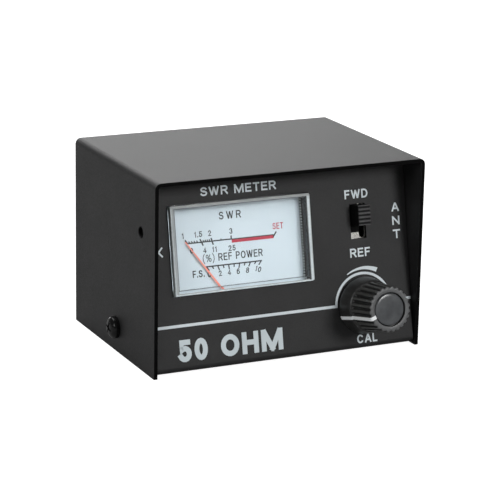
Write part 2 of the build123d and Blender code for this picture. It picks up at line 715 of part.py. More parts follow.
def socket_screws():
    """Four screws through each flange."""
    screws = None
    for x, y in socket_corners():
        screw = Pos(x, y, SOCKET_FLANGE_T) * Rot(0, 0, x * y) * pan_screw(7.0)
        screws = screw if screws is None else screws + screw
    return both_sockets(screws)


def socket_nuts():
    """Nuts behind the rear panel."""
    hexagon = extrude(RegularPolygon(M3_NUT_FLAT_R, 6, major_radius=False), M3_NUT_H)
    hexagon -= disc(0, 0, M3_R, -1, M3_NUT_H + 1)
    nuts = None
    for x, y in socket_corners():
        nut = Pos(x, y, -SHEET - M3_NUT_H) * hexagon
        nuts = nut if nuts is None else nuts + nut
    return both_sockets(nuts)


# ---- Wires ----
def bent_wire(points, bend, radius=WIRE_R):
    """Round wire along straight runs joined by arcs."""
    path = FilletPolyline(*points, radius=bend)
    start = Plane(origin=path @ 0, z_dir=path % 0)
    return sweep(start * Circle(radius), path=path)


# ---- Coupler between the sockets; depth is measured forwards from the rear panel's inner face ----
def inside(x0, x1, depth0, depth1, z0, z1):
    """Box by depth inside the rear panel and height from the sockets' axis."""
    return block(x0, x1, REAR_IN_Y - depth1, REAR_IN_Y - depth0, SOCKET_Z + z0, SOCKET_Z + z1)


def rod_x(x0, x1, depth, z, radius):
    """Rod along X inside the rear panel."""
    place = Pos((x0 + x1) / 2, REAR_IN_Y - depth, SOCKET_Z + z)
    return place * Rot(0, 90, 0) * Cylinder(radius, x1 - x0)


def rod_y(x, depth0, depth1, z, radius):
    """Rod along Y inside the rear panel."""
    place = Pos(x, REAR_IN_Y - (depth0 + depth1) / 2, SOCKET_Z + z)
    return place * Rot(90, 0, 0) * Cylinder(radius, depth1 - depth0)


def line_conductor():
    """Rod between the two solder tails, its ends let into them."""
    reach = SOCKET_X - TAIL_R + 0.3
    return rod_x(-reach, reach, LINE_DEPTH, 0, LINE_R)


def line_trough():
    """Channel that screens the line, its open side on the rear panel."""
    gap_half = TROUGH_HALF - TROUGH_T
    body = inside(-TROUGH_L / 2, TROUGH_L / 2, 0, BOARD_DEPTH, -TROUGH_HALF, TROUGH_HALF)
    body -= inside(-TROUGH_L, TROUGH_L, -1, WEB_DEPTH, -gap_half, gap_half)
    for x in (-PICKUP_X, PICKUP_X):
        for z in (-PICKUP_Z, PICKUP_Z):
            body -= rod_y(x, WEB_DEPTH - 1, WEB_DEPTH + 2, z, 1.0)
    return body


def bent_lead(x0, x1, z, end_depth, run_depth, radius):
    """Wire run along X with both ends turned towards the front or the back."""
    y_end = REAR_IN_Y - end_depth
    y_run = REAR_IN_Y - run_depth
    height = SOCKET_Z + z
    points = [(x0, y_end, height), (x0, y_run, height), (x1, y_run, height), (x1, y_end, height)]
    return bent_wire(points, 0.9, radius)


def pickup_lines():
    """Two sensing wires beside the line, their ends through the pick-up board."""
    lines = None
    for z in (-PICKUP_Z, PICKUP_Z):
        lead = bent_lead(-PICKUP_X, PICKUP_X, z, WEB_DEPTH + 2.4, LINE_DEPTH, PICKUP_R)
        lines = lead if lines is None else lines + lead
    return lines


def pickup_board():
    """Circuit board on the channel's face."""
    board = inside(-PICKUP_BOARD_L / 2, PICKUP_BOARD_L / 2, BOARD_DEPTH, BOARD_FACE, -9, 9)
    for x in (-PICKUP_X, PICKUP_X):
        for z in (-PICKUP_Z, PICKUP_Z):
            board -= rod_y(x, WEB_DEPTH, WEB_DEPTH + 3, z, PICKUP_R)
    return board


def axial_part(x, z, body_r, body_l):
    """Part lying along X on the pick-up board, on two bent leads."""
    depth = BOARD_FACE + body_r + 0.4
    reach = body_l / 2 + 1.2
    body = rod_x(x - body_l / 2, x + body_l / 2, depth, z, body_r)
    return body + bent_lead(x - reach, x + reach, z, BOARD_FACE, depth, LEAD_R)


def diodes():
    """Detector diodes."""
    return axial_part(-18.5, PICKUP_Z, 0.9, 3.4) + axial_part(18.5, PICKUP_Z, 0.9, 3.4)


def resistors():
    """Terminating resistors."""
    return axial_part(-19, -PICKUP_Z, 1.1, 5.5) + axial_part(19, -PICKUP_Z, 1.1, 5.5)


def capacitors():
    """Disc capacitors standing on the pick-up board."""
    parts = None
    for x in (-6.0, 6.0):
        body = rod_y(x, BOARD_FACE + 1.0, BOARD_FACE + 2.2, 0, 2.6)
        for side in (-1, 1):
            body += rod_y(x + side * 1.3, BOARD_FACE, BOARD_FACE + 1.5, 0, LEAD_R)
        parts = body if parts is None else parts + body
    return parts


def panel_point(u, v, r):
    """A point of the panel's coordinates in the object's frame."""
    return tuple(PANEL.from_local_coords((u, v, r)))


def signal_wires():
    """Three wires from the pick-up board to the control board."""
    wires = None
    board_y = REAR_IN_Y - BOARD_FACE
    for row in range(3):
        x = 0.0 + row * 2.5
        z = SOCKET_Z - 6.5
        end = panel_point(16.0 + row * 2.2, 20.5, BOARD_FRONT - BOARD_T)
        points = [(x, board_y, z), (x, board_y - 6, z), (end[0], end[1] + 7, end[2] - 1.4), end]
        line = bent_wire(points, 3.0)
        wires = line if wires is None else wires + line
    return wires


def meter_wires():
    """Two wires from the meter's lugs to the control board."""
    wires = None
    for row, lug_u in enumerate((WIN_U - 8, WIN_U + 8)):
        lug_v = WIN_V - 2.75
        end_v = 24.5 + row * 5
        back = METER_BACK - 9 - row * 1.5
        points = [
            panel_point(lug_u, lug_v, METER_BACK - 5), panel_point(lug_u, lug_v, back),
            panel_point(15.0, end_v, back), panel_point(15.0, end_v, BOARD_FRONT - BOARD_T),
        ]
        line = bent_wire(points, 2.0)
        wires = line if wires is None else wires + line
    return wires


PARTS = [
    cover, chassis, cover_screws,
    meter_lens, meter_housing, meter_dial, meter_terminals, meter_yoke, meter_core, core_supports,
    front_bridge, rear_bridge, jewel_screws, coil_former, coil_winding, coil_pivots, hairspring,
    needle, counterweight,
    switch_frame, switch_lever, switch_contacts, switch_base, switch_pins,
    pot_bush, pot_can, pot_track, pot_pins, pot_washer, pot_nut, pot_shaft, pot_wiper,
    knob_body, knob_pointer, knob_cap, control_board,
    socket_shells, socket_insulators, socket_contacts, socket_screws, socket_nuts,
    line_conductor, line_trough, pickup_lines, pickup_board, diodes, resistors, capacitors,
    signal_wires, meter_wires,
]

os.makedirs("parts", exist_ok=True)
for maker in PARTS:
    export_step(maker(), f"parts/{maker.__name__}.step")
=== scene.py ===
import json
from math import atan2, cos, degrees, pi, radians, sin

import bmesh
import bpy
from mathutils import Matrix, Vector


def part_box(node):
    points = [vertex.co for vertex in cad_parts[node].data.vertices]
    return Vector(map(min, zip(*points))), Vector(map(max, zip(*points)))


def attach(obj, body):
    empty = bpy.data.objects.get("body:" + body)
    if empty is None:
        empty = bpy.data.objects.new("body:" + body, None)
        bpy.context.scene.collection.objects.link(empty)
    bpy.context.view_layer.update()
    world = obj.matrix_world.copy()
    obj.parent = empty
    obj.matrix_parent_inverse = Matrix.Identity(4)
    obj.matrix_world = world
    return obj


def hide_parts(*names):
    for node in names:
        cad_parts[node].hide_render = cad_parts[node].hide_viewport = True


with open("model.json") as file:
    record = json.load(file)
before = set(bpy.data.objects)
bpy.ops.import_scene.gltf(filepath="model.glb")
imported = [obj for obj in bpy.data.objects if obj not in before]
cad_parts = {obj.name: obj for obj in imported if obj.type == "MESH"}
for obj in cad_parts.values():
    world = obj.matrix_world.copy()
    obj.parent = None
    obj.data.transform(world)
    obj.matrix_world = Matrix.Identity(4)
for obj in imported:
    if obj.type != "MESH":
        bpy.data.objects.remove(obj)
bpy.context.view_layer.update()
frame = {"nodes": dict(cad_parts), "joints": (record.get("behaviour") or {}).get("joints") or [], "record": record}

# Looks of a bench-top swr meter. Small sizes are in millimetres and turned into metres by MM.
# Panel coordinates: u to the right, v up the tilted panel, r out of its face, as in the CAD source.

MM = 0.001
JOINTS = {joint["name"]: joint for joint in frame["joints"]}
MOUNTS = {mount["name"]: mount for mount in frame["record"]["mounts"]}

# ---- Camera, measured from the middle of the cover's front edge ----
CAMERA_AZIMUTH = -25.71
CAMERA_ELEVATION = 15.73
CAMERA_ROLL = 1.09
CAMERA_LENS = 157.2
CAMERA_RIGHT = -10.10
CAMERA_UP = 28.48
CAMERA_BACK = 555.9

# ---- Thin layers ----
INK = 0.02
DIAL_INK = 0.012
LAYER = 0.0015                      # crossing strokes of a letter differ by this, so none are coplanar

# ---- Lettering ----
LETTER_GAP = 0.17
MITRE_LEAST = 0.62                  # keeps a sharp corner's mitre short

# ---- Surfaces ----
NOISE_LOW = 0.3                     # the middle of a noise, which its range of values is spread over
NOISE_HIGH = 0.7
FACING_START = 0.6                  # how squarely a surface faces an axis where its painted shade starts
FACING_FULL = 0.95
DULL = 0.05                         # specular levels: in a dark place, on sheet, on the grip, on a screw
SHEET_SHINE = 0.46
LEVER_SHINE = 0.5
SCREW_SHINE = 0.28

# ---- Rounded edges of the CAD nodes, in millimetres ----
EDGE_ROUNDS = {
    "cover": 0.11, "chassis": 0.14, "cover_screws": 0.12, "switch_lever": 0.12, "switch_frame": 0.08,
    "socket_screws": 0.1, "socket_insulators": 0.1, "meter_housing": 0.12,
}
ROUND_OVER = 28                     # degrees an edge has to bend by to be rounded

# ---- Window through the panel, in panel millimetres ----
LENS_SIDE = 1.675                   # from the lens flange's side to the window's
LENS_V = (20.05, 42.45)
STRIP_UNDER = 0.06                  # from the window's face down to the strips in it
STRIP_T = 0.02
SKIN_OVER = 0.005                   # from the window's face up to the skins on it
SKIN_FOOT = 0.001

# ---- Ribs on the right wall of the tray ----
RIB_GAP = 0.1                       # from the dial's edge to the wall
RIB_PITCH = 0.72
RIB_WIDE = 0.36
RIB_OUT = 0.22
RIB_FOOT = 0.05                     # heights over the dial's face
RIB_LONG = 0.92

# ---- Turned pieces ----
SECTORS = 96
KNOB_SECTORS = 432

# ---- Knob ----
KNOB_POINTER = 200.0
FLUTES = 24
FLUTE_START = 9.5                   # degrees from the pointer line to the middle of the first flute
FLUTE_HALF = 4.2                    # degrees from a flute's middle to its edge
FLUTE_DEEP = 0.6
FLUTE_LEAST_R = 5.5                 # nothing inside this radius or under FLUTE_FOOT is fluted
FLUTE_FOOT = 5.0
FLUTE_RISE = (5.15, 5.7)            # heights where a flute grows to its depth, and where it thins again
FLUTE_FADE = (11.0, 14.0)
FLUTE_FADE_SHARE = 0.45
LIT_RIDGE_HALF = 9.5                    # degrees from a flute's middle to the end of the paler ridge, a painted highlight
GRIP_LOW = (6.42, 5.36)             # radius and height of the grip's foot and of its front
GRIP_HIGH = (5.8, 13.9)
GRIP_STEPS = 16
GRIP_FROM = 5.4                     # the grip's looks start over this height
FRONT_FROM = 13.95                  # and the front's over this one
CAP_SEAT_R = 4.6
SHADED_GROOVE_SHARE = 0.9                  # share of a flute that is coloured as a groove, in painted shade
CAP_TOP = 14.0
CAP_DOME = 0.16
CAP_FLAT_R = 3.6
CAP_STEPS = 9

# ---- Switch lever's grip, over the panel ----
LEVER_DEEP = 3.6
LEVER_FACE = 3.95
LEVER_SHADE = 0.2                    # shares of its colour below LEVER_DEEP, a painted shade, and above LEVER_FACE, a painted highlight
LEVER_HIGHLIGHT = 3.0

# ---- Sockets ----
SOCKET_FLANGE_T = 1.8
BARREL_R = 7.94
BARREL_BORE = 6.3
BARREL_L = 13.5
THREAD_PITCH = 1.058
THREAD_DEEP = 0.5
THREAD_STEPS = 130
THREAD_SLOPE = 2.6                  # steepness of the thread's flanks
THREAD_START = 0.5                  # height of the first turn over the barrel's foot
MOUTH_LEAD_IN = 0.25

# ---- Printed ring and rule ----
RING_U = 22.3
RING_V = 12.5
RING_INNER = 7.55
RING_OUTER = 8.2
RULE_V = 12.55
RULE_WIDE = 0.74
RULE_INSET = 0.5                    # from the chassis' left edge to the rule
RULE_END = 36.2
RULE_GAPS = (7.6, 7.9)              # from the ring's middle to the rule's two inner ends
WEDGE_INNER = 8.83
WEDGE_OUTER = (9.1, 10.0)           # at its left end and at its right
WEDGE_ENDS = (118, 62)              # degrees
REAR_WORDS_Z = 41.5
THIN_STROKE = 0.42

# ---- Studio ----
FLOOR_HALF = 3.0
FLOOR_GREY = 0.46
FLOOR_GLOW = 0.93
WORLD_LIGHT = 0.15
WORLD_SEEN = 1.0
# Lamps: place and target in metres, size in metres, power in watts.
LAMPS = {
    "key": ((0.33, -0.87, 0.42), (0, 0, 0.02), 0.26, 4.4),
    "fill": ((-0.95, -0.5, 0.6), (0, 0, 0.02), 0.5, 4.2),
    "top": ((-0.1, 0.35, 0.8), (0, 0, 0.03), 0.7, 4.5),
    "back": ((0.3, 1.3, 0.35), (0, 0, 0.05), 1.0, 8.6),
}


# ---------------------------------------------------------------- frame
def panel_frame():
    """Matrix from panel millimetres to the row frame, worked out from the control's axis."""
    knob = JOINTS["cal_turn"]
    out = -Vector(knob["axis"]).normalized()
    right = Vector((1, 0, 0))
    up = out.cross(right)
    foot = Vector(knob["pos_m"])
    foot -= up * (foot.z / up.z)
    foot.x = 0
    turn = Matrix((right, up, out)).transposed().to_4x4()
    return Matrix.Translation(foot) @ turn @ Matrix.Diagonal((MM, MM, MM, 1))


PANEL = panel_frame()
COVER_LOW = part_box("cover")[0]
KNOB_AT = PANEL.inverted() @ Vector(JOINTS["cal_turn"]["pos_m"])
PIVOT_AT = PANEL.inverted() @ Vector(JOINTS["needle_swing"]["pos_m"])


def panel_box(node):
    """Lowest and highest panel coordinates of a CAD node."""
    inverse = PANEL.inverted()
    points = [inverse @ vertex.co for vertex in frame["nodes"][node].data.vertices]
    low = Vector([min(p[i] for p in points) for i in range(3)])
    high = Vector([max(p[i] for p in points) for i in range(3)])
    return low, high


# ---------------------------------------------------------------- meshes
def new_piece(name, bm, body, material, matrix=None, smooth_angle=None):
    """Turns a bmesh into a piece that rides on a body."""
    mesh = bpy.data.meshes.new(name)
    bmesh.ops.recalc_face_normals(bm, faces=bm.faces)
    bm.to_mesh(mesh)
    bm.free()
    if matrix is not None:
        mesh.transform(matrix)
    piece = bpy.data.objects.new(name, mesh)
    bpy.context.scene.collection.objects.link(piece)
    mesh.materials.append(material)
    if smooth_angle is not None:
        mesh.shade_smooth()
        mesh.set_sharp_from_angle(angle=radians(smooth_angle))
    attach(piece, body)
    return piece


def add_prism(bm, outline, low, high):
    """Closed flat prism over an outline of (x, y) points."""
    bottom = [bm.verts.new((x, y, low)) for x, y in outline]
    top = [bm.verts.new((x, y, high)) for x, y in outline]
    count = len(outline)
    bm.faces.new(list(reversed(bottom)))
    bm.faces.new(top)
    for i in range(count):
        j = (i + 1) % count
        bm.faces.new((bottom[i], bottom[j], top[j], top[i]))


def add_bar(bm, u0, v0, u1, v1, width, low, high):
    """Straight printed stroke between two points."""
    along = Vector((u1 - u0, v1 - v0)).normalized()
    side = Vector((-along.y, along.x)) * (width / 2)
    corners = [(u0 + side.x, v0 + side.y), (u0 - side.x, v0 - side.y)]
    corners += [(u1 - side.x, v1 - side.y), (u1 + side.x, v1 + side.y)]
    add_prism(bm, corners, low, high)


def add_arc(bm, centre, inner, outer, start, end, low, high, steps=48):
    """Printed arc in degrees; outer may be a pair, for a band that grows along its length."""
    outer_start, outer_end = outer if isinstance(outer, tuple) else (outer, outer)
    outside, inside = [], []
    for i in range(steps + 1):
        share = i / steps
        angle = radians(start + (end - start) * share)
        direction = Vector((cos(angle), sin(angle)))
        outside.append(centre + direction * (outer_start + (outer_end - outer_start) * share))
        inside.append(centre + direction * inner)
    for i in range(steps):
        add_prism(bm, [inside[i], outside[i], outside[i + 1], inside[i + 1]], low, high)


def add_ribbon(bm, points, width, low, high, closed=False):
    """Solid stroke of even width along a path, its corners mitred."""
    points = [Vector(point) for point in points]
    count = len(points)
    rows = []
    for i, point in enumerate(points):
        before = points[i - 1] if i > 0 or closed else None
        after = points[(i + 1) % count] if i < count - 1 or closed else None
        into = (point - before).normalized() if before is not None else (after - point).normalized()
        out = (after - point).normalized() if after is not None else into
        across = into + out
        across = Vector((-across.y, across.x)).normalized()
        reach = (width / 2) / max(MITRE_LEAST, across.dot(Vector((-into.y, into.x))))
        left = point + across * reach
        right = point - across * reach
        section = ((left, low), (right, low), (right, high), (left, high))
        rows.append([bm.verts.new((p.x, p.y, z)) for p, z in section])
    spans = count if closed else count - 1
    for i in range(spans):
        first = rows[i]
        second = rows[(i + 1) % count]
        for a in range(4):
            b = (a + 1) % 4
            bm.faces.new((first[a], first[b], second[b], second[a]))
    if not closed:
        bm.faces.new(list(reversed(rows[0])))
        bm.faces.new(rows[-1])


# ---------------------------------------------------------------- lettering
def oval(cx, cy, rx, ry, start=0, end=360, steps=14):
    """Points along part of an ellipse; a whole one isn't closed by a repeated point."""
    count = steps if abs(end - start) >= 360 else steps + 1
    angles = [radians(start + (end - start) * i / steps) for i in range(count)]
    return [(cx + rx * cos(a), cy + ry * sin(a)) for a in angles]


BOWL = oval(0.62, 0.74, 0.38, 0.26, 90, -90, 8)
# Letters in a unit box: width over height, open strokes, closed strokes.
GLYPHS = {
    "A": (0.80, [[(0, 0), (0.45, 1), (0.55, 1), (1, 0)], [(0.2, 0.3), (0.8, 0.3)]], []),
    "C": (0.80, [oval(0.5, 0.5, 0.5, 0.5, 42, 318, 18)], []),
    "D": (0.76, [], [[(0, 0), (0.45, 0)] + oval(0.45, 0.5, 0.55, 0.5, -70, 70, 10) + [(0.45, 1), (0, 1)]]),
    "E": (0.66, [[(1, 1), (0, 1), (0, 0), (1, 0)], [(0, 0.52), (0.9, 0.52)]], []),
    "F": (0.62, [[(1, 1), (0, 1), (0, 0)], [(0, 0.5), (0.88, 0.5)]], []),
    "H": (0.76, [[(0, 0), (0, 1)], [(1, 0), (1, 1)], [(0, 0.52), (1, 0.52)]], []),
    "L": (0.60, [[(0, 1), (0, 0), (1, 0)]], []),
    "M": (1.0, [
        [(0, 0), (0, 1)], [(0.06, 0.98), (0.5, 0.0)], [(0.5, 0.0), (0.94, 0.98)], [(1, 0), (1, 1)],
    ], []),
    "N": (0.76, [[(0, 0), (0, 1)], [(0.02, 0.98), (0.98, 0.02)], [(1, 0), (1, 1)]], []),
    "O": (0.84, [], [oval(0.5, 0.5, 0.5, 0.5, 0, 360, 24)]),
    "P": (0.70, [[(0, 0), (0, 1)] + BOWL + [(0, 0.48)]], []),
    "R": (0.74, [[(0, 0), (0, 1)] + BOWL + [(0, 0.48)], [(0.55, 0.48), (1, 0)]], []),
    "S": (0.72, [oval(0.5, 0.76, 0.46, 0.24, 25, 270, 12) + oval(0.5, 0.26, 0.5, 0.26, 90, -160, 12)], []),
    "T": (0.70, [[(0.5, 0), (0.5, 1)], [(0, 1), (1, 1)]], []),
    "W": (1.08, [
        [(0, 1), (0.23, 0), (0.28, 0), (0.48, 0.95), (0.52, 0.95), (0.72, 0), (0.77, 0), (1, 1)],
    ], []),
    "X": (0.74, [[(0, 0), (1, 1)], [(0, 1), (1, 0)]], []),
    "0": (0.60, [], [oval(0.5, 0.5, 0.5, 0.5, 0, 360, 20)]),
    "1": (0.36, [[(0.75, 0), (0.75, 1), (0.1, 0.78)]], []),
    "2": (0.60, [oval(0.5, 0.71, 0.46, 0.29, 165, -28, 10) + [(0, 0), (1, 0)]], []),
    "3": (0.60, [oval(0.47, 0.76, 0.42, 0.24, 155, -90, 10) + oval(0.47, 0.26, 0.5, 0.26, 90, -155, 10)], []),
    "4": (0.62, [[(0.74, 0), (0.74, 1), (0, 0.28), (1, 0.28)]], []),
    "5": (0.60, [[(0.9, 1), (0.16, 1), (0.08, 0.52)] + oval(0.47, 0.32, 0.53, 0.32, 125, -155, 12)], []),
    "6": (0.60, [oval(0.5, 0.5, 0.5, 0.5, 50, 180, 8)], [oval(0.5, 0.31, 0.5, 0.31, 0, 360, 16)]),
    "8": (0.60, [], [oval(0.5, 0.76, 0.42, 0.24, 0, 360, 14), oval(0.5, 0.26, 0.5, 0.26, 0, 360, 16)]),
    ".": (0.16, [[(0.5, 0), (0.5, 0.05)]], []),
    "(": (0.36, [[(1, 1.15), (0.35, 0.9), (0, 0.65), (0, 0.25), (0.35, 0), (1, -0.25)]], []),
    ")": (0.36, [[(0, 1.15), (0.65, 0.9), (1, 0.65), (1, 0.25), (0.65, 0), (0, -0.25)]], []),
    "%": (0.95, [[(0.2, 0), (0.8, 1)]], [
        oval(0.2, 0.76, 0.2, 0.24, 0, 360, 12), oval(0.8, 0.24, 0.2, 0.24, 0, 360, 12),
    ]),
    " ": (0.34, [], []),
}


def add_words(bm, words, low_left, height, width, stroke, low=0.0, high=INK, gap=LETTER_GAP, place=None):
    """Lettering as solid strokes, fitted to a height and a width from its lower left corner.

    place, if given, is a point and a turn in degrees for the whole label.
    """
    before = len(bm.verts)
    natural = sum(GLYPHS[letter][0] for letter in words) + gap * (len(words) - 1)
    unit = width / natural
    left = low_left[0]
    for letter in words:
        cell, open_paths, closed_paths = GLYPHS[letter]
        reach = max(cell * unit - stroke, 0.0)
        base = Vector((left + stroke / 2, low_left[1] + stroke / 2))
        top = high
        for paths, closed in ((open_paths, False), (closed_paths, True)):
            for path in paths:
                points = [base + Vector((x * reach, y * (height - stroke))) for x, y in path]
                if not closed:
                    points[0] += (points[0] - points[1]).normalized() * (stroke / 2)
                    points[-1] += (points[-1] - points[-2]).normalized() * (stroke / 2)
                top += LAYER
                add_ribbon(bm, points, stroke, low, top, closed)
        left += (cell + gap) * unit
    if place is not None:
        (u, v), turn = place
        bm.verts.ensure_lookup_table()
        matrix = Matrix.Translation((u, v, 0)) @ Matrix.Rotation(radians(turn), 4, "Z")
        bmesh.ops.transform(bm, matrix=matrix, verts=bm.verts[before:])


# ---------------------------------------------------------------- materials
def shader_of(material):
    """The material's Principled shader."""
    return material.node_tree.nodes["Principled BSDF"]


def new_material(name, colour, roughness, metallic=0.0):
    """Material with one Principled shader."""
    material = bpy.data.materials.new(name)
    material.use_nodes = True
    shader = shader_of(material)
    shader.inputs["Base Color"].default_value = (*colour, 1)
    shader.inputs["Roughness"].default_value = roughness
    shader.inputs["Metallic"].default_value = metallic
    return material


def feed(material, value, name):
    """Links a node's output into one of the shader's inputs."""
    material.node_tree.links.new(value, shader_of(material).inputs[name])


def object_noise(material, size_mm, detail=2.0, stretch=(1, 1, 1)):
    """Noise in the object's own space, its features about size_mm wide."""
    nodes = material.node_tree.nodes
    links = material.node_tree.links
    place = nodes.new("ShaderNodeTexCoord")
    mapping = nodes.new("ShaderNodeMapping")
    mapping.inputs["Scale"].default_value = stretch
    noise = nodes.new("ShaderNodeTexNoise")
    noise.inputs["Scale"].default_value = 1 / (size_mm * MM)
    noise.inputs["Detail"].default_value = detail
    links.new(place.outputs["Object"], mapping.inputs["Vector"])
    links.new(mapping.outputs["Vector"], noise.inputs["Vector"])
    return noise.outputs["Fac"]


def spread(material, factor, low, high, value_low, value_high):
    """Maps a factor between low and high to a range of values."""
    node = material.node_tree.nodes.new("ShaderNodeMapRange")
    node.inputs["From Min"].default_value = low
    node.inputs["From Max"].default_value = high
    node.inputs["To Min"].default_value = value_low
    node.inputs["To Max"].default_value = value_high
    material.node_tree.links.new(factor, node.inputs["Value"])
    return node.outputs["Result"]


def colour_between(material, factor, first, second):
    """Mixes two colours by a factor into the shader's base colour."""
    node = material.node_tree.nodes.new("ShaderNodeMix")
    node.data_type = "RGBA"
    node.inputs["A"].default_value = (*first, 1)
    node.inputs["B"].default_value = (*second, 1)
    material.node_tree.links.new(factor, node.inputs["Factor"])
    feed(material, node.outputs["Result"], "Base Color")


def add_bump(material, heights, depth_mm):
    """Bump on the shader from a height between 0 and 1."""
    node = material.node_tree.nodes.new("ShaderNodeBump")
    node.inputs["Strength"].default_value = 1.0
    node.inputs["Distance"].default_value = depth_mm * MM
    material.node_tree.links.new(heights, node.inputs["Height"])
    feed(material, node.outputs["Normal"], "Normal")


def add_grain(material, colour_noise, grain, dark, light, rough_low, rough_high, depth_mm):
    """Colour variation from one noise, roughness and bump from another."""
    colour_between(material, spread(material, colour_noise, NOISE_LOW, NOISE_HIGH, 0, 1), dark, light)
    feed(material, spread(material, grain, NOISE_LOW, NOISE_HIGH, rough_low, rough_high), "Roughness")
    add_bump(material, grain, depth_mm)


def grained(name, dark, light, rough_low, rough_high, grain_mm, depth_mm, blotch_mm=9.0):
    """Surface with a fine grain, slow colour variation and uneven roughness."""
    material = new_material(name, light, rough_high)
    blotches = object_noise(material, blotch_mm, 3.0)
    grain = object_noise(material, grain_mm)
    add_grain(material, blotches, grain, dark, light, rough_low, rough_high, depth_mm)
    return material


def turned_metal(name, dark, light, rough_low, rough_high):
    """Plated metal with faint drawn lines."""
    material = new_material(name, light, rough_low, 1.0)
    lines = object_noise(material, 0.5, 3.0, (1, 1, 14))
    cloud = object_noise(material, 5.0)
    add_grain(material, cloud, lines, dark, light, rough_low, rough_high, 0.004)
    return material


def scale_colour(material, share):
    """Multiplies the shader's base colour by a node's output."""
    paint = shader_of(material).inputs["Base Color"].links[0].from_socket
    scale = material.node_tree.nodes.new("ShaderNodeVectorMath")
    scale.operation = "SCALE"
    material.node_tree.links.new(paint, scale.inputs[0])
    material.node_tree.links.new(share, scale.inputs["Scale"])
    feed(material, scale.outputs["Vector"], "Base Color")


def paint_edge_shade(material, share, axis="Y"):
    """Painted shade: darker and duller where the surface faces along an axis, on the sheet's cut edges and the
    walls of slots, where shade falls.
    """
    nodes = material.node_tree.nodes
    links = material.node_tree.links
    place = nodes.new("ShaderNodeTexCoord")
    parts = nodes.new("ShaderNodeSeparateXYZ")
    links.new(place.outputs["Normal"], parts.inputs["Vector"])
    size = nodes.new("ShaderNodeMath")
    size.operation = "ABSOLUTE"
    links.new(parts.outputs[axis], size.inputs[0])
    facing = size.outputs["Value"]
    scale_colour(material, spread(material, facing, FACING_START, FACING_FULL, 1.0, share))
    shine = spread(material, facing, FACING_START, FACING_FULL, SHEET_SHINE, DULL)
    feed(material, shine, "Specular IOR Level")


def paint_lever_shade_and_highlight(material, deep, face):
    """Painted shade, darker and duller, below one height over the panel, and a painted highlight, paler, above
    another, in panel millimetres.
    """
    nodes = material.node_tree.nodes
    out = PANEL.col[2].xyz.normalized()
    foot = out.dot(PANEL.translation)
    place = nodes.new("ShaderNodeTexCoord")
    height = nodes.new("ShaderNodeVectorMath")
    height.operation = "DOT_PRODUCT"
    height.inputs[1].default_value = out
    material.node_tree.links.new(place.outputs["Object"], height.inputs[0])
    low, high = foot + deep * MM, foot + face * MM
    over = height.outputs["Value"]
    scale_colour(material, spread(material, over, low, high, LEVER_SHADE, LEVER_HIGHLIGHT))
    feed(material, spread(material, over, low, high, DULL, LEVER_SHINE), "Specular IOR Level")


def clear_plastic():
    """Clear polystyrene that lets lamps through to the dial."""
    material = new_material("clear_plastic", (0.96, 0.98, 0.985), 0.02)
    tree = material.node_tree
    shader = shader_of(material)
    shader.inputs["Transmission Weight"].default_value = 1.0
    shader.inputs["IOR"].default_value = 1.49
    scratches = object_noise(material, 1.5, 4.0, (1, 1, 6))
    feed(material, spread(material, scratches, 0.45, 0.8, 0.015, 0.06), "Roughness")
    path = tree.nodes.new("ShaderNodeLightPath")
    open_air = tree.nodes.new("ShaderNodeBsdfTransparent")
    open_air.inputs["Color"].default_value = (0.93, 0.95, 0.96, 1)
    mix = tree.nodes.new("ShaderNodeMixShader")
    tree.links.new(path.outputs["Is Shadow Ray"], mix.inputs[0])
    tree.links.new(shader.outputs[0], mix.inputs[1])
    tree.links.new(open_air.outputs[0], mix.inputs[2])
    tree.links.new(mix.outputs[0], tree.nodes["Material Output"].inputs["Surface"])
    return material


